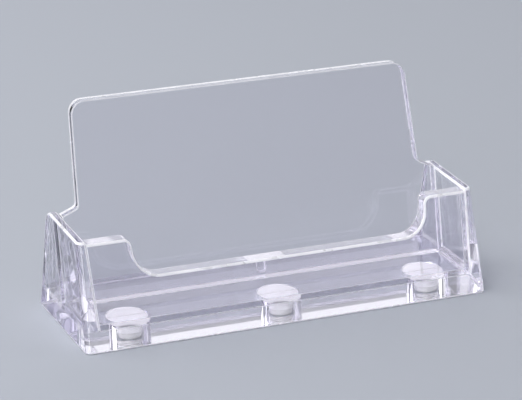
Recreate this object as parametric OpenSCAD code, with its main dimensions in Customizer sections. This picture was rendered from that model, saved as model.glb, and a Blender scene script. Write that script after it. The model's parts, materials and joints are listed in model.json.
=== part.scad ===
// Clear desk holder for cards: leaning front and back panels bonded between two end walls on a base plate.
// Millimetres, +Z up, the holder faces -Y, and Z = 0 is the desk.

/* [Base plate] */
// Overall width on the desk
base_w = 104.5; // [84:0.5:140]
// Depth on the desk, from front edge to rear edge
base_d = 35; // [30:0.5:48]
// Thickness of the plate
base_t = 5; // [4.5:0.5:8]
// Rounding of the upright outer corners at the front of the plate and walls
front_corner_r = 1.5; // [0.5:0.25:2]
// Rounding of the upright outer corners at the rear
rear_corner_r = 0.5; // [0.25:0.25:2]

/* [Pocket] */
// Lean of the front and back panels from upright, in degrees
panel_lean = 17; // [10:0.5:20]
// Clear depth of the pocket along its floor
pocket_d = 12.7; // [8:0.1:14]

/* [Side walls] */
// Height of a wall at its rear corner
wall_rear_h = 25.8; // [22:0.2:32]
// How much lower a wall is at its front corner
wall_front_drop = 0.6; // [0:0.1:3]
// How far a wall reaches behind the back panel at its top
wall_rear_over = 3.4; // [0:0.1:4]
// Rounding of the rear corner of a wall top, seen from the side
wall_rear_r = 3; // [0.5:0.25:4]
// Wall thickness along the top
wall_top_t = 2.1; // [2:0.1:4]
// Wall thickness at the foot
wall_foot_t = 3.8; // [3.6:0.1:6]
// Inward lean of the outer faces, in degrees
side_draft = 2; // [0.5:0.25:3]
// Radius of the cove where a wall runs out on the pocket floor
cove_r = 2; // [1:0.25:3]
// Thickness that the cove keeps at its toe
cove_toe = 0.15; // [0.1:0.05:0.4]

/* [Front panel] */
// Thickness of the panel
front_t = 4; // [2.5:0.1:5]
// How much lower the ears are than the front corners of the walls
ear_drop = 0.6; // [0:0.1:1]
// Depth of the finger dip below the ears
dip_depth = 8.9; // [8:0.1:14]
// Width of the finger dip between its ends
dip_w = 74.8; // [50:0.2:80]
// Outward lean of the ends of the dip, in degrees
dip_end_lean = 5; // [0:0.5:10]
// Rounding at the bottom corners of the dip
dip_r = 6.3; // [2:0.1:6.3]
// Rounding where each ear turns down into the dip
ear_r = 2; // [0.5:0.1:2]

/* [Back panel] */
// Thickness of the panel
back_t = 2.8; // [2:0.1:4.5]
// Height of the top edge above the desk
back_h = 51.6; // [42:0.2:70]
// Step in from each wall to the panel edge at the shoulder
shoulder_step = 4.1; // [3.4:0.1:8]
// Fall of each shoulder from the panel edge out to the wall
shoulder_fall = 1.5; // [0:0.1:2]
// Rounding inside each shoulder
shoulder_r = 1.4; // [1:0.1:3.3]
// Run-in of each side edge from the shoulder to the top
edge_run_in = 1.1; // [0:0.1:4]
// Rounding of the two top corners
top_r = 3.5; // [1:0.1:8]
// Width of the gate nub low on the rear face
nub_w = 2.4; // [1.5:0.1:4]
// Height of the gate nub
nub_h = 2.8; // [2:0.1:6]
// Rounding of the lower corners of the gate nub
nub_r = 1; // [0.3:0.1:1.1]
// Lift of the gate nub above the joint with the plate
nub_lift = 0.4; // [0.2:0.1:2]
// How far the gate nub stands off the rear face
nub_t = 0.8; // [0.2:0.1:1]

/* [Grip pads] */
// Diameter of a grip pad
pad_d = 9.4; // [6:0.1:9.8]
// Thickness of a grip pad
pad_t = 1.5; // [1:0.1:1.6]
// Diameter of an adhesive disc
disc_d = 10; // [9.6:0.1:11]
// Thickness of an adhesive disc
disc_t = 1.8; // [1:0.1:1.9]
// Distance from each end of the plate to the centre of the end pad
pad_from_end = 13.3; // [9:0.1:20]
// Distance from the front edge to the row of pads
pad_from_front = 10.4; // [8:0.1:20]

/* [Joints] */
// Film of cement between two bonded faces
cement_gap = 0.05; // [0.02:0.01:0.1]
// Room around a disc in its recess
recess_clearance = 0.2; // [0.1:0.05:0.4]

/* [Hidden] */
$fn = 64;
// Run of a leaning face for each millimetre of height
lean_run = tan(panel_lean);
draft_run = tan(side_draft);
// Depth of each panel measured level, front to back
front_run = front_t / cos(panel_lean);
back_run = back_t / cos(panel_lean);
// Height at which everything above the plate starts
seat_z = base_t + cement_gap;
// Heights that follow the walls
wall_front_h = wall_rear_h - wall_front_drop;
ear_h = wall_front_h - ear_drop;
lip_h = ear_h - dip_depth;
// Long enough to pass through the whole holder
reach = 2 * (base_w + base_d + back_h);
// Overshoot of a cutter past the face that it cuts
over = 1;
// Depth by which a feature is rooted in the piece that carries it
root = 0.4;
// Depth of the recess that takes an adhesive disc and its pad
recess_h = pad_t + disc_t + 2 * cement_gap;
recess_d = disc_d + 2 * recess_clearance;
// Rear corner of a wall top
wall_rear_y = back_face_y(wall_rear_h) + back_run + wall_rear_over;
// Forward run of the rear face for each millimetre of height
rear_run = (base_d / 2 - wall_rear_y) / wall_rear_h;
rear_lean = atan(rear_run);

clear_plastic = [0.90, 0.91, 0.96, 0.45];
white_foam = [0.96, 0.96, 0.95];
pale_rubber = [0.88, 0.88, 0.87];

// Outer face of the front, then the pocket side of each panel, at height z
function front_y(z) = -base_d / 2 + z * lean_run;
function pocket_front_y(z) = front_y(z) + front_run;
function back_face_y(z) = pocket_front_y(z) + pocket_d;
// Rear face of the plate and walls at height z
function rear_y(z) = base_d / 2 - z * rear_run;
// Outer and inner faces of a side wall at height z
function outer_x(z) = base_w / 2 - z * draft_run;
function wall_t(z) = wall_foot_t + (wall_top_t - wall_foot_t) * (z - base_t) / (wall_rear_h - base_t);
function inner_x(z) = outer_x(z) - wall_t(z);
inner_run = (inner_x(wall_rear_h) - inner_x(base_t)) / (wall_rear_h - base_t);
// Half width of a panel that is bonded between the walls
function panel_x(z) = inner_x(z) - cement_gap;

// Corner arithmetic for an outline of [x or y, z, radius] corners, listed anticlockwise
function point(c) = [c[0], c[1]];
function unit(v) = v / norm(v);
function before(c, i) = unit(point(c[(i + len(c) - 1) % len(c)]) - point(c[i]));
function after(c, i) = unit(point(c[(i + 1) % len(c)]) - point(c[i]));
function half_angle(c, i) = acos(before(c, i) * after(c, i)) / 2;
function bulges(c, i) = cross(-before(c, i), after(c, i)) > 0;
function arc_centre(c, i) =
    point(c[i]) + unit(before(c, i) + after(c, i)) * c[i][2] / sin(half_angle(c, i));
function cut_back(c, i) = c[i][2] / tan(half_angle(c, i));
function corner_points(c, i) = c[i][2] == 0
    ? [point(c[i])]
    : [point(c[i]) + before(c, i) * cut_back(c, i), point(c[i]) + after(c, i) * cut_back(c, i)];

// Outline with a true arc at each corner that has a radius
module rounded_outline(c) {
    difference() {
        union() {
            polygon([for (i = [0 : len(c) - 1]) each corner_points(c, i)]);
            for (i = [0 : len(c) - 1]) {
                if (c[i][2] > 0 && bulges(c, i)) {
                    translate(arc_centre(c, i)) circle(r = c[i][2]);
                }
            }
        }
        for (i = [0 : len(c) - 1]) {
            if (c[i][2] > 0 && !bulges(c, i)) {
                translate(arc_centre(c, i)) circle(r = c[i][2]);
            }
        }
    }
}

// Side profile, drawn as [y, z], run across the holder
module across() {
    rotate([90, 0, 90]) linear_extrude(height = reach, center = true) children();
}

// Front profile, drawn as [x, z], run from front to back
module front_to_back() {
    rotate([90, 0, 0]) linear_extrude(height = reach, center = true) children();
}

// Band between two leaning faces, as a side profile
module leaning_band(y_low, z_low, z_high, run) {
    rise = (z_high - z_low) * lean_run;
    polygon([[y_low, z_low], [y_low + run, z_low], [y_low + run + rise, z_high], [y_low + rise, z_high]]);
}

// Cutter that rounds an upright corner to radius r, where the front face leans back by lean degrees
module corner_cutter(lean, r) {
    tilt = atan(cos(lean) * draft_run);
    rotate([-lean, 0, 0]) rotate([0, -tilt, 0])
        linear_extrude(height = reach, center = true) difference() {
            translate([-r, -over]) square(r + over);
            translate([-r, r]) circle(r = r);
        }
}

// The front and rear cutters at the right-hand end
module end_corner_cutters() {
    translate([base_w / 2, -base_d / 2, 0]) corner_cutter(panel_lean, front_corner_r);
    translate([base_w / 2, base_d / 2, 0]) mirror([0, 1, 0]) corner_cutter(rear_lean, rear_corner_r);
}

module at_pad(place) {
    translate([place * (base_w / 2 - pad_from_end), pad_from_front - base_d / 2, 0]) children();
}

// Solid plate on the desk: leaning front and rear, drafted ends, three blind recesses underneath
module base_plate() {
    color(clear_plastic) difference() {
        intersection() {
            across() polygon([
                [front_y(0), 0], [rear_y(0), 0], [rear_y(base_t), base_t], [front_y(base_t), base_t]
            ]);
            front_to_back() polygon([
                [-outer_x(0), 0], [outer_x(0), 0], [outer_x(base_t), base_t], [-outer_x(base_t), base_t]
            ]);
        }
        end_corner_cutters();
        mirror([1, 0, 0]) end_corner_cutters();
        for (place = [-1 : 1]) {
            at_pad(place) translate([0, 0, -over]) cylinder(d = recess_d, h = recess_h + over);
        }
    }
}

// Wedge-section wall with a rounded rear top corner and a cove between the two panels
module side_wall() {
    slope = sqrt(1 + inner_run * inner_run);
    cove_z = seat_z + cove_toe + cove_r;
    cove_x = inner_x(cove_z) - cove_r * slope;
    color(clear_plastic) {
        difference() {
            intersection() {
                across() rounded_outline([
                    [front_y(seat_z), seat_z, 0], [rear_y(seat_z), seat_z, 0],
                    [wall_rear_y, wall_rear_h, wall_rear_r], [front_y(wall_front_h), wall_front_h, 0]
                ]);
                front_to_back() polygon([
                    [inner_x(seat_z), seat_z], [outer_x(seat_z), seat_z],
                    [outer_x(wall_rear_h), wall_rear_h], [inner_x(wall_rear_h), wall_rear_h]
                ]);
            }
            end_corner_cutters();
        }
        intersection() {
            across() leaning_band(
                pocket_front_y(seat_z) + cement_gap, seat_z, cove_z, pocket_d - 2 * cement_gap
            );
            front_to_back() difference() {
                polygon([
                    [cove_x, seat_z], [inner_x(seat_z) + root, seat_z],
                    [inner_x(cove_z) + root, cove_z], [cove_x, cove_z]
                ]);
                translate([cove_x, cove_z]) circle(r = cove_r);
            }
        }
    }
}

module left_side_wall() {
    mirror([1, 0, 0]) side_wall();
}

module right_side_wall() {
    side_wall();
}

// Leaning panel with two ears and a finger dip between them
module front_panel() {
    half_dip = dip_w / 2;
    flare = (ear_h - lip_h) * tan(dip_end_lean);
    color(clear_plastic) intersection() {
        across() leaning_band(front_y(seat_z), seat_z, ear_h, front_run);
        front_to_back() rounded_outline([
            [-panel_x(seat_z), seat_z, 0],
            [panel_x(seat_z), seat_z, 0],
            [panel_x(ear_h), ear_h, 0],
            [half_dip + flare, ear_h, ear_r],
            [half_dip, lip_h, dip_r],
            [-half_dip, lip_h, dip_r],
            [-half_dip - flare, ear_h, ear_r],
            [-panel_x(ear_h), ear_h, 0]
        ]);
    }
}

// Leaning panel that fills between the walls, steps in above them and tapers to rounded corners
module back_panel() {
    edge_x = panel_x(wall_rear_h) - shoulder_step;
    nub_z = seat_z + nub_lift;
    color(clear_plastic) {
        intersection() {
            across() leaning_band(back_face_y(seat_z), seat_z, back_h, back_run);
            front_to_back() rounded_outline([
                [-panel_x(seat_z), seat_z, 0],
                [panel_x(seat_z), seat_z, 0],
                [panel_x(wall_rear_h), wall_rear_h, 0],
                [edge_x, wall_rear_h + shoulder_fall, shoulder_r],
                [edge_x - edge_run_in, back_h, top_r],
                [-edge_x + edge_run_in, back_h, top_r],
                [-edge_x, wall_rear_h + shoulder_fall, shoulder_r],
                [-panel_x(wall_rear_h), wall_rear_h, 0]
            ]);
        }
        intersection() {
            across() leaning_band(
                back_face_y(seat_z) + back_run - root, seat_z, nub_z + nub_h + over, nub_t + root
            );
            front_to_back() rounded_outline([
                [-nub_w / 2, nub_z, nub_r],
                [nub_w / 2, nub_z, nub_r],
                [nub_w / 2, nub_z + nub_h, 0],
                [-nub_w / 2, nub_z + nub_h, 0]
            ]);
        }
    }
}

// Self-stick disc against the ceiling of a recess
module adhesive_disc(place) {
    color(white_foam) at_pad(place) translate([0, 0, pad_t + cement_gap]) cylinder(d = disc_d, h = disc_t);
}

module left_adhesive_disc() {
    adhesive_disc(-1);
}

module middle_adhesive_disc() {
    adhesive_disc(0);
}

module right_adhesive_disc() {
    adhesive_disc(1);
}

// Round pad under a disc, level with the underside of the plate
module grip_pad(place) {
    color(pale_rubber) at_pad(place) cylinder(d = pad_d, h = pad_t);
}

module left_grip_pad() {
    grip_pad(-1);
}

module middle_grip_pad() {
    grip_pad(0);
}

module right_grip_pad() {
    grip_pad(1);
}

base_plate();
left_side_wall();
right_side_wall();
front_panel();
back_panel();
left_adhesive_disc();
middle_adhesive_disc();
right_adhesive_disc();
left_grip_pad();
middle_grip_pad();
right_grip_pad();
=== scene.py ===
# Clear acrylic desk holder for cards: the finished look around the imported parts
import bpy
import json
import math
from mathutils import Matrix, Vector
from mathutils.bvhtree import BVHTree

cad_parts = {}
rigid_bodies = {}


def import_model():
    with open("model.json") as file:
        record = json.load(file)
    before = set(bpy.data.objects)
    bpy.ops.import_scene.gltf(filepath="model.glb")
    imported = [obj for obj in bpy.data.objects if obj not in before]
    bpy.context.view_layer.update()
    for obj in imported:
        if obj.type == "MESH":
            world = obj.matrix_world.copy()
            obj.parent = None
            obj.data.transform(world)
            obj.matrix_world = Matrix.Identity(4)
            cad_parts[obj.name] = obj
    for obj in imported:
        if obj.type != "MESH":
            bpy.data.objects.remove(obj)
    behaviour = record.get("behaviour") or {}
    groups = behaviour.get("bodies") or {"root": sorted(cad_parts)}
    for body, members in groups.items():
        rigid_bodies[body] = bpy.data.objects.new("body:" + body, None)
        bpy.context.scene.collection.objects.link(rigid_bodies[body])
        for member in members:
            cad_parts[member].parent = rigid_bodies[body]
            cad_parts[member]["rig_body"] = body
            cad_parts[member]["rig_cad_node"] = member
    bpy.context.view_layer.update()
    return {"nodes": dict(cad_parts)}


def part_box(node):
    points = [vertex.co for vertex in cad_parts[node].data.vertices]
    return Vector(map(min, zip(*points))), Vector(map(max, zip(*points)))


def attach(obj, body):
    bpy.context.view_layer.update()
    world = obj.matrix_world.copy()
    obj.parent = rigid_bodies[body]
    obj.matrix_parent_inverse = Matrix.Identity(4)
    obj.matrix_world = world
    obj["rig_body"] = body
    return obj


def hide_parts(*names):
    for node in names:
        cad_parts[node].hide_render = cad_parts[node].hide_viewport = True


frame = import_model()

MM = 0.001
PAD_PLACES = ("left", "middle", "right")

# Sizes of the clear pieces
FRONT_T = 4.0 * MM
BACK_T = 2.8 * MM
POCKET_D = 12.7 * MM
WALL_FRONT_H = 25.2 * MM
WALL_REAR_H = 25.8 * MM
WALL_REAR_ROUND = 3.0 * MM
WALL_FOOT_T = 3.8 * MM
WALL_TOP_T = 2.1 * MM
FRONT_CORNER_ROUND = 1.5 * MM
COVE_ROUND = 2.0 * MM
COVE_TOE = 0.15 * MM
COVE_ROOT = 0.4 * MM
RECESS_D = 10.4 * MM
RECESS_H = 3.4 * MM

# Sizes of the foam discs and the grip pads
FOAM_RIM_ROUND = 0.2 * MM
SLIT_W = 0.5 * MM
SLIT_DEPTH = 0.6 * MM
# The tool that cuts the slit is this much longer than the disc is wide
SLIT_OVERRUN = 1.2
PAD_RIM_ROUND = 0.25 * MM
PAD_RIM_W = 1.2 * MM
DISH_DEPTH = 0.3 * MM

# Run of each leaning outer face for each metre of height, read off the CAD boxes
plate_low, plate_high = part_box("base_plate")
wall_low, wall_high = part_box("right_side_wall")
SEAT = wall_low.z
FRONT_RUN = (wall_low.y - plate_low.y) / SEAT
REAR_RUN = (plate_high.y - wall_high.y) / SEAT
SIDE_RUN = (plate_high.x - wall_high.x) / SEAT
COVE_TOP = SEAT + COVE_TOE + COVE_ROUND

# The leaning panels' faces, each as its depth where it would meet the desk
SLANT = math.hypot(1, FRONT_RUN)
POCKET_FRONT = plate_low.y + FRONT_T * SLANT
POCKET_REAR = POCKET_FRONT + POCKET_D
BACK_REAR = POCKET_REAR + BACK_T * SLANT
BACK_MIDDLE = (POCKET_REAR + BACK_REAR) / 2

# Rounding of the clear pieces' edges
FREE_ROUND = 0.5 * MM
FINE_ROUND = 0.3 * MM
SEAM_ROUND = 0.15 * MM
WALL_SEAM_ROUND = 0.06 * MM
NUB_ROUND = 0.45 * MM
# What lies this close to a neighbouring piece lies on a seam
SEAM_REACH = 0.6 * MM
# Half width of the strip on the back panel that holds the gate nub
NUB_STRIP = 2.0 * MM
# Width of the line of cement squeezed out on the walls along each face of the back panel
CEMENT_LINE = 0.6 * MM
CEMENT_LINES = ((POCKET_REAR - CEMENT_LINE, POCKET_REAR), (BACK_REAR, BACK_REAR + CEMENT_LINE))
# How far a bonded face is pressed through the film of cement, so that light crosses the joint
BOND_DEPTH = 0.06 * MM
# A face this close to a neighbouring piece is bonded to it
BOND_REACH = 0.08 * MM

# Shares of frost
FULL_FROST = 1.0
REAR_RIM_FROST = 0.9
FINE_EDGE_FROST = 0.5
WALL_SEAM_FROST = 0.3
COVE_FROST = 0.3
FRONT_PANEL_RIM_FROST = 0.3
PLATE_FRONT_FROST = 0.25
CLEAR_RIM_FROST = 0.05
NO_FROST = 0.0
# Slot that holds the faces of the broken edges until the frost is marked
BROKEN_EDGE_SLOT = 1

# How squarely a face or an edge points along an axis, as a cosine
FLAT = 0.99
SQUARE = 0.9
STEEP = 0.8
RIM_TILT = 0.5
COVE_TILT = 0.1

# Fineness of the meshes
ROUND_SIDES = 96
FRONT_CORNER_STEPS = 10
REAR_TOP_STEPS = 12
EDGE_STEPS = 4
RIM_STEPS = 3
MERGE_REACH = 0.002 * MM
FLAT_STRETCH = math.radians(0.5)
SMOOTH_ANGLE = math.radians(35)
SHARP_EDGE = math.radians(40)
SHARP_RIM = math.radians(60)

# Studio, in metres
FLOOR_SIZE = 6.0
# The floor lies a touch under the holder, so that their faces stay apart
FLOOR_DROP = 0.02 * MM
LOW_AIM = Vector((0, 0, 0.02))
MIDDLE_AIM = Vector((0, 0, 0.03))
LIGHT_BOUNCES = 36
# Camera fitted to the photograph: its place and the point that it looks at
CAMERA_PLACE = Vector((-0.23146, -0.55751, 0.24345))
CAMERA_AIM = Vector((-0.001144, -0.0005, 0.026095))


# Small helpers

def linear(hex_colour):
    """An sRGB hex colour as linear RGBA."""
    rgb = [int(hex_colour[i:i + 2], 16) / 255 for i in (1, 3, 5)]
    return [c / 12.92 if c <= 0.04045 else ((c + 0.055) / 1.055) ** 2.4 for c in rgb] + [1.0]


def add(tree, kind, links=None, values=None, **settings):
    """Adds one shader node. Settings are its properties, values its unlinked inputs, and links its inputs
    that come from another node, each as that node and its output."""
    added = tree.nodes.new(kind)
    for name, value in settings.items():
        setattr(added, name, value)
    for name, value in (values or {}).items():
        added.inputs[name].default_value = value
    for name, (source, output) in (links or {}).items():
        tree.links.new(source.outputs[output], added.inputs[name])
    return added


def new_material(name):
    material = bpy.data.materials.new(name)
    material.use_nodes = True
    material.node_tree.nodes.clear()
    return material, material.node_tree


def only(piece):
    """Leaves just this piece selected and active."""
    bpy.ops.object.select_all(action="DESELECT")
    piece.select_set(True)
    bpy.context.view_layer.objects.active = piece


def primitive(add_shape, **settings):
    """Adds a primitive while nothing else is selected, and returns it."""
    bpy.ops.object.select_all(action="DESELECT")
    add_shape(**settings)
    return bpy.context.view_layer.objects.active


def apply_place():
    bpy.ops.object.transform_apply(location=True, rotation=True, scale=True)


def apply_modifier(piece, kind, **settings):
    modifier = piece.modifiers.new(kind.lower(), kind)
    for name, value in settings.items():
        setattr(modifier, name, value)
    bpy.ops.object.modifier_apply(modifier=modifier.name)


def join_solid(piece, tool, operation):
    """Cuts a tool out of a piece, or fuses it on, and clears the tool away."""
    only(piece)
    apply_modifier(piece, "BOOLEAN", operation=operation, solver="EXACT", object=tool)
    bpy.data.objects.remove(tool)


def select(piece, kind, wanted):
    """Goes into edit mode with just the wanted faces or edges selected."""
    bpy.ops.object.mode_set(mode="EDIT")
    bpy.ops.mesh.select_mode(type=kind)
    bpy.ops.mesh.select_all(action="DESELECT")
    bpy.ops.object.mode_set(mode="OBJECT")
    for item in piece.data.polygons if kind == "FACE" else piece.data.edges:
        item.select = wanted(item)
    bpy.ops.object.mode_set(mode="EDIT")


def select_sharp_edges(angle):
    """Goes into edit mode with just the edges selected that turn by more than this angle."""
    bpy.ops.object.mode_set(mode="EDIT")
    bpy.ops.mesh.select_mode(type="EDGE")
    bpy.ops.mesh.select_all(action="DESELECT")
    bpy.ops.mesh.edges_select_sharp(sharpness=angle)


def finished(piece, node, material):
    """Gives a piece its material and puts it in the place of its CAD node."""
    piece.data.materials.clear()
    piece.data.materials.append(material)
    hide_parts(node)
    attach(piece, "root")


# Materials

def clear_moulded_acrylic():
    """Polished clear acrylic out of a steel mould: sharp refraction, a faint lavender cast that builds up
    along the thick edges, a slow ripple from the flow of the melt, and a fine white frost where the pieces
    are marked for it."""
    material, tree = new_material("clear_moulded_acrylic")
    place = add(tree, "ShaderNodeTexCoord")
    # Flow ripple about 22 mm from crest to crest
    ripple = add(tree, "ShaderNodeTexNoise", {"Vector": (place, "Object")},
                 {"Scale": 1 / (22 * MM), "Detail": 1.5, "Roughness": 0.4})
    waves = add(tree, "ShaderNodeBump", {"Height": (ripple, "Fac")},
                {"Strength": 0.35, "Distance": 0.06 * MM})
    # Handling haze in patches about 9 mm across
    haze = add(tree, "ShaderNodeTexNoise", {"Vector": (place, "Object")},
               {"Scale": 1 / (9 * MM), "Detail": 4.0, "Roughness": 0.6})
    gloss = add(tree, "ShaderNodeMapRange", {"Value": (haze, "Fac")},
                {"From Min": 0.45, "From Max": 0.8, "To Min": 0.0, "To Max": 0.035})
    # Frost broken up in stretches about 6 mm long
    edge = add(tree, "ShaderNodeAttribute", attribute_name="worn_edge")
    scuffs = add(tree, "ShaderNodeTexNoise", {"Vector": (place, "Object")},
                 {"Scale": 1 / (6 * MM), "Detail": 3.0})
    rubbed = add(tree, "ShaderNodeMapRange", {"Value": (scuffs, "Fac")},
                 {"From Min": 0.3, "From Max": 0.7, "To Min": 0.6, "To Max": 0.9})
    worn = add(tree, "ShaderNodeMath", {0: (edge, "Fac"), 1: (rubbed, "Result")}, operation="MULTIPLY")
    # Frost makes the surface rougher and lets less light through
    rough = add(tree, "ShaderNodeMath", {0: (worn, "Value"), 2: (gloss, "Result")}, {1: 0.4},
                operation="MULTIPLY_ADD")
    clear = add(tree, "ShaderNodeMath", {0: (worn, "Value")}, {1: -1.0, 2: 1.0}, operation="MULTIPLY_ADD")
    skin = add(tree, "ShaderNodeBsdfPrincipled",
               {"Roughness": (rough, "Value"), "Normal": (waves, "Normal"),
                "Transmission Weight": (clear, "Value")},
               {"Base Color": linear("#FBFAFE"), "IOR": 1.49})
    cast = add(tree, "ShaderNodeVolumeAbsorption", None, {"Color": linear("#DDD8F0"), "Density": 7.0})
    add(tree, "ShaderNodeOutputMaterial", {"Surface": (skin, "BSDF"), "Volume": (cast, "Volume")})
    return material


def white_foam_tape():
    """Closed-cell white foam, die cut: soft matt white with fine cells about 0.4 mm across."""
    material, tree = new_material("white_foam_tape")
    place = add(tree, "ShaderNodeTexCoord")
    cells = add(tree, "ShaderNodeTexVoronoi", {"Vector": (place, "Object")}, {"Scale": 1 / (0.4 * MM)})
    tone = add(tree, "ShaderNodeTexNoise", {"Vector": (place, "Object")},
               {"Scale": 1 / (3 * MM), "Detail": 3.0})
    shade = add(tree, "ShaderNodeMix", {"Factor": (tone, "Fac")}, data_type="RGBA")
    shade.inputs["A"].default_value = linear("#FEFEFD")
    shade.inputs["B"].default_value = linear("#FAFAF8")
    dimples = add(tree, "ShaderNodeBump", {"Height": (cells, "Distance")},
                  {"Strength": 0.3, "Distance": 0.05 * MM})
    foam = add(tree, "ShaderNodeBsdfPrincipled",
               {"Base Color": (shade, "Result"), "Normal": (dimples, "Normal")},
               {"Roughness": 0.75, "IOR": 1.45})
    add(tree, "ShaderNodeOutputMaterial", {"Surface": (foam, "BSDF")})
    return material


def pale_grip_rubber():
    """Moulded grip rubber with a spark-eroded tool finish: matt pale grey with a fine pebble about 0.3 mm
    across."""
    material, tree = new_material("pale_grip_rubber")
    place = add(tree, "ShaderNodeTexCoord")
    pebble = add(tree, "ShaderNodeTexNoise", {"Vector": (place, "Object")},
                 {"Scale": 1 / (0.3 * MM), "Detail": 2.0})
    tone = add(tree, "ShaderNodeTexNoise", {"Vector": (place, "Object")},
               {"Scale": 1 / (4 * MM), "Detail": 2.0})
    shade = add(tree, "ShaderNodeMix", {"Factor": (tone, "Fac")}, data_type="RGBA")
    shade.inputs["A"].default_value = linear("#E2E2E0")
    shade.inputs["B"].default_value = linear("#D2D2D1")
    grain = add(tree, "ShaderNodeBump", {"Height": (pebble, "Fac")},
                {"Strength": 0.4, "Distance": 0.03 * MM})
    rubber = add(tree, "ShaderNodeBsdfPrincipled",
                 {"Base Color": (shade, "Result"), "Normal": (grain, "Normal")},
                 {"Roughness": 0.65, "IOR": 1.5})
    add(tree, "ShaderNodeOutputMaterial", {"Surface": (rubber, "BSDF")})
    return material


ACRYLIC = clear_moulded_acrylic()
FOAM = white_foam_tape()
RUBBER = pale_grip_rubber()


# Clear pieces: joints closed, edges broken, frost marked

def skin_of(node):
    mesh = frame["nodes"][node].data
    return BVHTree.FromPolygons([v.co for v in mesh.vertices], [p.vertices for p in mesh.polygons])


SKINS = {node: skin_of(node) for node in frame["nodes"]}


def near_neighbour(node, point, reach):
    """Whether any other CAD node lies within reach of a point."""
    others = [skin for other, skin in SKINS.items() if other != node]
    return any(skin.find_nearest(point, reach)[0] is not None for skin in others)


def lean_depth(point):
    """Depth of a point when it is followed down the lean of the panels to the desk."""
    return point.y - FRONT_RUN * point.z


def edge_ends(piece, edge):
    return [piece.data.vertices[i].co for i in edge.vertices]


def merged_copy(node):
    """A copy of a CAD node as one clean mesh: doubles merged, flat stretches one face each."""
    only(frame["nodes"][node])
    bpy.ops.object.duplicate()
    piece = bpy.context.view_layer.objects.active
    piece.name = node + "_polished"
    # The copy is a piece of the scene, so it loses the marks of a CAD node
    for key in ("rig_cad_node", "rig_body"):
        del piece[key]
    bpy.ops.object.mode_set(mode="EDIT")
    bpy.ops.mesh.select_mode(type="EDGE")
    bpy.ops.mesh.select_all(action="SELECT")
    bpy.ops.mesh.remove_doubles(threshold=MERGE_REACH)
    bpy.ops.mesh.dissolve_limited(angle_limit=FLAT_STRETCH)
    bpy.ops.mesh.select_all(action="DESELECT")
    bpy.ops.object.mode_set(mode="OBJECT")
    return piece


def trimmed_block(name, low, high, cuts):
    """A block trimmed by flat cuts, each given as a point on the cut and the side that falls away."""
    block = primitive(bpy.ops.mesh.primitive_cube_add, size=1, location=(Vector(low) + Vector(high)) / 2)
    block.name = name
    block.scale = Vector(high) - Vector(low)
    apply_place()
    bpy.ops.object.mode_set(mode="EDIT")
    for point, away in cuts:
        bpy.ops.mesh.select_all(action="SELECT")
        bpy.ops.mesh.bisect(plane_co=point, plane_no=Vector(away).normalized(),
                            use_fill=True, clear_outer=True)
    bpy.ops.mesh.select_all(action="SELECT")
    bpy.ops.mesh.normals_make_consistent(inside=False)
    bpy.ops.object.mode_set(mode="OBJECT")
    return block


def round_front_corners(piece, outer_x):
    """Rounds the upright corners at the front that lie further out than outer_x."""
    def wanted(edge):
        a, b = edge_ends(piece, edge)
        middle = (a + b) / 2
        return abs((a - b).normalized().z) > STEEP and middle.y < 0 and abs(middle.x) > outer_x
    select(piece, "EDGE", wanted)
    bpy.ops.mesh.bevel(offset=FRONT_CORNER_ROUND, segments=FRONT_CORNER_STEPS, affect="EDGES")
    bpy.ops.object.mode_set(mode="OBJECT")


def round_rear_top(wall, top_rear_y):
    """Rounds the corner between the top and the rear of a wall, seen from the side."""
    corner = Vector((top_rear_y, WALL_REAR_H))

    def wanted(edge):
        return all((co.yz - corner).length < SEAM_REACH for co in edge_ends(wall, edge))
    select(wall, "EDGE", wanted)
    half_angle = (math.pi / 2 + math.atan(REAR_RUN)) / 2
    setback = WALL_REAR_ROUND / math.tan(half_angle)
    bpy.ops.mesh.bevel(offset=setback, segments=REAR_TOP_STEPS, affect="EDGES")
    bpy.ops.object.mode_set(mode="OBJECT")


def close_joints(panel, node):
    """Presses the bonded faces of a panel a touch into its neighbours: the foot down the lean, the ends
    outwards."""
    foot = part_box(node)[0].z
    select(panel, "FACE", lambda face: face.normal.z < -FLAT and face.center.z < foot + BOND_REACH)
    bpy.ops.transform.translate(value=(0, -BOND_DEPTH * FRONT_RUN, -BOND_DEPTH))
    bpy.ops.object.mode_set(mode="OBJECT")
    for end in (-1, 1):
        def wanted(face):
            return face.normal.x * end > SQUARE and near_neighbour(node, face.center, BOND_REACH)
        select(panel, "FACE", wanted)
        bpy.ops.transform.translate(value=(end * BOND_DEPTH, 0, 0))
        bpy.ops.object.mode_set(mode="OBJECT")


def edge_round(piece, node, edge):
    """How far one sharp edge is rounded: widely where it is free, less on a seam, on the front of the back
    panel and round the end of the gate nub, whose root stays sharp."""
    ends = edge_ends(piece, edge)
    middle = (ends[0] + ends[1]) / 2
    if node == "base_plate" or "wall" in node:
        return WALL_SEAM_ROUND if abs(middle.z - SEAT) < SEAM_REACH else FREE_ROUND
    if node == "back_panel" and all(abs(co.x) < NUB_STRIP for co in ends):
        return NUB_ROUND if all(lean_depth(co) > BACK_REAR + NUB_ROUND for co in ends) else 0.0
    if near_neighbour(node, middle, SEAM_REACH):
        return SEAM_ROUND
    fine_edge = node == "back_panel" and lean_depth(middle) < POCKET_REAR + FINE_ROUND
    return FINE_ROUND if fine_edge else FREE_ROUND


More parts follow.
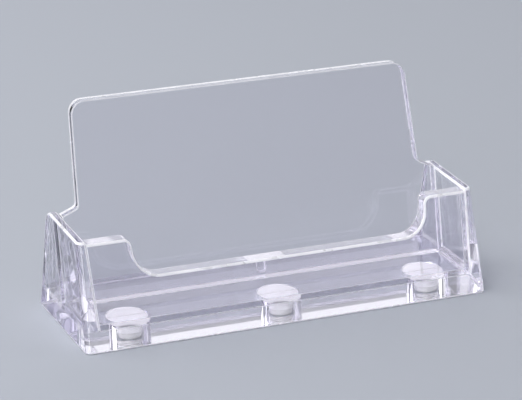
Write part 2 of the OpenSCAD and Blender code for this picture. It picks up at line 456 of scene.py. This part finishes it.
def break_edges(piece, node):
    """Rounds the sharp edges, and leaves the new faces in a slot of their own, for the frost."""
    piece.data.materials.clear()
    for slot in range(BROKEN_EDGE_SLOT + 1):
        piece.data.materials.append(ACRYLIC)
    select_sharp_edges(SHARP_EDGE)
    bpy.ops.object.mode_set(mode="OBJECT")
    rounds = {e.index: edge_round(piece, node, e) for e in piece.data.edges if e.select}
    for size in sorted(set(rounds.values())):
        select(piece, "EDGE", lambda edge: rounds.get(edge.index) == size)
        bpy.ops.transform.edge_bevelweight(value=size / FREE_ROUND)
        bpy.ops.object.mode_set(mode="OBJECT")
    apply_modifier(piece, "BEVEL", limit_method="WEIGHT", width=FREE_ROUND, segments=EDGE_STEPS,
                   material=BROKEN_EDGE_SLOT, use_clamp_overlap=False)


def split_faces(piece, depths):
    """Divides the faces along the lean of the panels at these depths, and leaves the shape as it is."""
    bpy.ops.object.mode_set(mode="EDIT")
    for depth in depths:
        bpy.ops.mesh.select_all(action="SELECT")
        bpy.ops.mesh.bisect(plane_co=(0, depth, 0), plane_no=(0, 1, -FRONT_RUN))
    bpy.ops.object.mode_set(mode="OBJECT")


def wall_frost(face, depth):
    """Share of frost on a wall away from its edges: the lines of cement inside, and a satin cove."""
    inner = face.normal.x * face.center.x < 0 and abs(face.normal.x) > SQUARE
    if inner and any(low < depth < high for low, high in CEMENT_LINES):
        return FULL_FROST
    cove = COVE_TILT < face.normal.z < FLAT and face.center.z < COVE_TOP
    return COVE_FROST if cove else NO_FROST


def frost_on(node, face):
    """Share of frost on one face. Broken edges and the sides of the gate nub have it in full, the fine front
    edges of the back panel and the seam under the walls have less. The free rims of the two panels, the
    walls and the satin front of the plate have shares of their own."""
    depth = lean_depth(face.center)
    if node == "back_panel" and depth > BACK_REAR + BOND_DEPTH:
        return NO_FROST if face.normal.y > SQUARE else FULL_FROST
    on_seam = near_neighbour(node, face.center, SEAM_REACH)
    if face.material_index == BROKEN_EDGE_SLOT:
        if node == "back_panel" and depth < POCKET_REAR + FINE_ROUND and not on_seam:
            return FINE_EDGE_FROST
        wall_seam = "panel" not in node and abs(face.center.z - SEAT) < SEAM_REACH
        return WALL_SEAM_FROST if wall_seam else FULL_FROST
    if node == "base_plate":
        return PLATE_FRONT_FROST if face.normal.y < -STEEP else NO_FROST
    if "wall" in node:
        return wall_frost(face, depth)
    rim = max(abs(face.normal.x), face.normal.z) > RIM_TILT
    if not rim or on_seam:
        return NO_FROST
    if node == "back_panel":
        return REAR_RIM_FROST if depth > BACK_MIDDLE else CLEAR_RIM_FROST
    return FRONT_PANEL_RIM_FROST


def polished(piece, node):
    """Marks the frost face by face, shades the piece smooth with its flats kept flat, and finishes it."""
    frost = piece.data.attributes.new("worn_edge", "FLOAT", "FACE")
    for face in piece.data.polygons:
        frost.data[face.index].value = frost_on(node, face)
        face.material_index = 0
    only(piece)
    bpy.ops.object.shade_smooth_by_angle(angle=SMOOTH_ANGLE)
    apply_modifier(piece, "WEIGHTED_NORMAL", weight=100, keep_sharp=True)
    finished(piece, node, ACRYLIC)


def outer_cuts():
    """The leaning front and rear faces that the plate and the walls share."""
    return [((0, plate_low.y, 0), (0, -1, FRONT_RUN)), ((0, plate_high.y, 0), (0, 1, REAR_RUN))]


def end_cut(side):
    """The drafted outer face at one end."""
    return (side * plate_high.x, 0, 0), (side, 0, SIDE_RUN)


def base_plate():
    """Plate with leaning faces and rounded corners, and a blind recess over each pad."""
    cuts = outer_cuts() + [end_cut(-1), end_cut(1)]
    plate = trimmed_block("base_plate_polished", plate_low, plate_high, cuts)
    round_front_corners(plate, 0)
    break_edges(plate, "base_plate")
    for place in PAD_PLACES:
        low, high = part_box(place + "_adhesive_disc")
        middle = (low + high) / 2
        recess = primitive(bpy.ops.mesh.primitive_cylinder_add, vertices=ROUND_SIDES, radius=RECESS_D / 2,
                           depth=2 * RECESS_H, location=(middle.x, middle.y, 0))
        join_solid(plate, recess, "DIFFERENCE")
    polished(plate, "base_plate")


def side_wall(node, side):
    """Wedge-section wall with a rounded rear top corner, and its cove on the pocket floor."""
    low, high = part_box(node)
    foot = SEAT - BOND_DEPTH
    top_front_y = plate_low.y + WALL_FRONT_H * FRONT_RUN
    top_rear_y = plate_high.y - WALL_REAR_H * REAR_RUN
    top_slope = (WALL_REAR_H - WALL_FRONT_H) / (top_rear_y - top_front_y)
    foot_x = plate_high.x - SEAT * SIDE_RUN - WALL_FOOT_T
    inner_run = (WALL_FOOT_T - WALL_TOP_T) / (WALL_REAR_H - SEAT) - SIDE_RUN
    wall_cuts = outer_cuts() + [
        end_cut(side),
        ((0, top_front_y, WALL_FRONT_H), (0, -top_slope, 1)),
        ((side * foot_x, 0, SEAT), (-side, 0, inner_run)),
    ]
    wall = trimmed_block(node + "_polished", (low.x, low.y, foot), (high.x, high.y, WALL_REAR_H), wall_cuts)
    round_rear_top(wall, top_rear_y)
    round_front_corners(wall, foot_x + WALL_TOP_T)
    break_edges(wall, node)
    toe_x = min(abs(low.x), abs(high.x))
    left_x, right_x = sorted((side * toe_x, side * (foot_x + COVE_ROOT)))
    pocket_cuts = [
        ((0, POCKET_FRONT, 0), (0, -1, FRONT_RUN)),
        ((0, POCKET_REAR, 0), (0, 1, -FRONT_RUN)),
    ]
    cove = trimmed_block("cove", (left_x, low.y, foot), (right_x, high.y, COVE_TOP), pocket_cuts)
    # The round tool runs out past both ends of the cove
    hollow = primitive(bpy.ops.mesh.primitive_cylinder_add, vertices=ROUND_SIDES, radius=COVE_ROUND,
                       depth=4 * POCKET_D, location=(side * toe_x, 0, COVE_TOP),
                       rotation=(math.radians(90), 0, 0))
    join_solid(cove, hollow, "DIFFERENCE")
    join_solid(wall, cove, "UNION")
    split_faces(wall, [depth for line in CEMENT_LINES for depth in line])
    polished(wall, node)


def leaning_panel(node):
    panel = merged_copy(node)
    close_joints(panel, node)
    break_edges(panel, node)
    if node == "back_panel":
        # The rim in two halves, because its rear half has far more frost
        split_faces(panel, [BACK_MIDDLE])
    polished(panel, node)


base_plate()
side_wall("left_side_wall", -1)
side_wall("right_side_wall", 1)
leaning_panel("front_panel")
leaning_panel("back_panel")


# Foam discs and grip pads under the base plate

def round_blank(node, name):
    """A plain round blank of a CAD node's own size and place, ready to be shaped."""
    low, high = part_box(node)
    blank = primitive(bpy.ops.mesh.primitive_cylinder_add, vertices=ROUND_SIDES,
                      radius=(high.x - low.x) / 2, depth=high.z - low.z, location=(low + high) / 2)
    blank.name = name
    apply_place()
    return blank


def soften_rims(size):
    select_sharp_edges(SHARP_RIM)
    bpy.ops.mesh.bevel(offset=size, segments=RIM_STEPS, affect="EDGES")
    bpy.ops.object.mode_set(mode="OBJECT")


def die_cut_disc(node):
    """Foam disc with softened rims and the slit of its split backing across the middle."""
    low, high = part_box(node)
    middle = (low + high) / 2
    disc = round_blank(node, node + "_foam")
    soften_rims(FOAM_RIM_ROUND)
    slit = primitive(bpy.ops.mesh.primitive_cube_add, size=1, location=(middle.x, middle.y, high.z))
    slit.scale = ((high.x - low.x) * SLIT_OVERRUN, SLIT_W, 2 * SLIT_DEPTH)
    apply_place()
    join_solid(disc, slit, "DIFFERENCE")
    bpy.ops.object.shade_smooth_by_angle(angle=SMOOTH_ANGLE)
    finished(disc, node, FOAM)


def moulded_pad(node):
    """Grip pad with softened rims and a shallow dish in its underside."""
    pad = round_blank(node, node + "_rubber")
    soften_rims(PAD_RIM_ROUND)
    select(pad, "FACE", lambda face: face.normal.z < -FLAT)
    bpy.ops.mesh.inset(thickness=PAD_RIM_W)
    # The dish has sides that slope as far in as they rise
    bpy.ops.mesh.inset(thickness=DISH_DEPTH)
    bpy.ops.transform.translate(value=(0, 0, DISH_DEPTH))
    bpy.ops.object.mode_set(mode="OBJECT")
    bpy.ops.object.shade_smooth_by_angle(angle=SMOOTH_ANGLE)
    finished(pad, node, RUBBER)


for place in PAD_PLACES:
    die_cut_disc(place + "_adhesive_disc")
    moulded_pad(place + "_grip_pad")


# Studio: pale floor, soft lamps, camera at the photograph's angle

def pale_floor():
    floor = primitive(bpy.ops.mesh.primitive_plane_add, size=FLOOR_SIZE, location=(0, 0, -FLOOR_DROP))
    floor.name = "studio_floor"
    material, tree = new_material("pale_paper_sweep")
    paper = add(tree, "ShaderNodeBsdfPrincipled", None,
                {"Base Color": linear("#A9ADB6"), "Roughness": 0.85})
    add(tree, "ShaderNodeOutputMaterial", {"Surface": (paper, "BSDF")})
    floor.data.materials.append(material)


def studio_air():
    """Faint even light from all round."""
    world = bpy.data.worlds.new("studio_air")
    world.use_nodes = True
    tree = world.node_tree
    tree.nodes.clear()
    air = add(tree, "ShaderNodeBackground", None, {"Color": linear("#E6E9F0"), "Strength": 0.3})
    add(tree, "ShaderNodeOutputWorld", {"Surface": (air, "Background")})
    bpy.context.scene.world = world


def softbox(name, place, aim, width, height, power):
    light = bpy.data.lights.new(name, "AREA")
    light.shape = "RECTANGLE"
    light.size = width
    light.size_y = height
    light.energy = power
    lamp = bpy.data.objects.new(name, light)
    bpy.context.scene.collection.objects.link(lamp)
    lamp.location = place
    lamp.rotation_euler = (aim - Vector(place)).to_track_quat("-Z", "Y").to_euler()


def light_paths():
    """Follows light for many bounces, because it runs along inside the clear pieces."""
    paths = bpy.context.scene.cycles
    paths.max_bounces = LIGHT_BOUNCES
    paths.glossy_bounces = LIGHT_BOUNCES
    paths.transmission_bounces = LIGHT_BOUNCES
    # The clear pieces stay sharp for the light that reaches the foam and the floor through them
    paths.blur_glossy = 0.0


def photo_camera():
    lens = bpy.data.cameras.new("photo_camera")
    lens.sensor_width = 36.0
    lens.lens = 182.0
    lens.clip_start = 0.01
    lens.clip_end = 20.0
    camera = bpy.data.objects.new("photo_camera", lens)
    bpy.context.scene.collection.objects.link(camera)
    camera.location = CAMERA_PLACE
    camera.rotation_euler = (CAMERA_AIM - camera.location).to_track_quat("-Z", "Y").to_euler()
    bpy.context.scene.camera = camera


pale_floor()
studio_air()
softbox("top_softbox", place=(-0.35, 0.1, 0.9), aim=LOW_AIM, width=0.9, height=0.6, power=5.8)
softbox("rear_softbox", place=(0.4, 1.0, 0.42), aim=MIDDLE_AIM, width=1.6, height=0.75, power=3.3)
softbox("left_softbox", place=(-0.85, 0.55, 0.4), aim=MIDDLE_AIM, width=0.9, height=0.6, power=5.0)
softbox("right_softbox", place=(0.9, -0.3, 0.3), aim=MIDDLE_AIM, width=0.5, height=0.5, power=1.6)
softbox("front_softbox", place=(-0.75, -1.0, 0.55), aim=LOW_AIM, width=1.0, height=0.7, power=8.5)
light_paths()
photo_camera()
bpy.context.scene.view_settings.view_transform = "Standard"
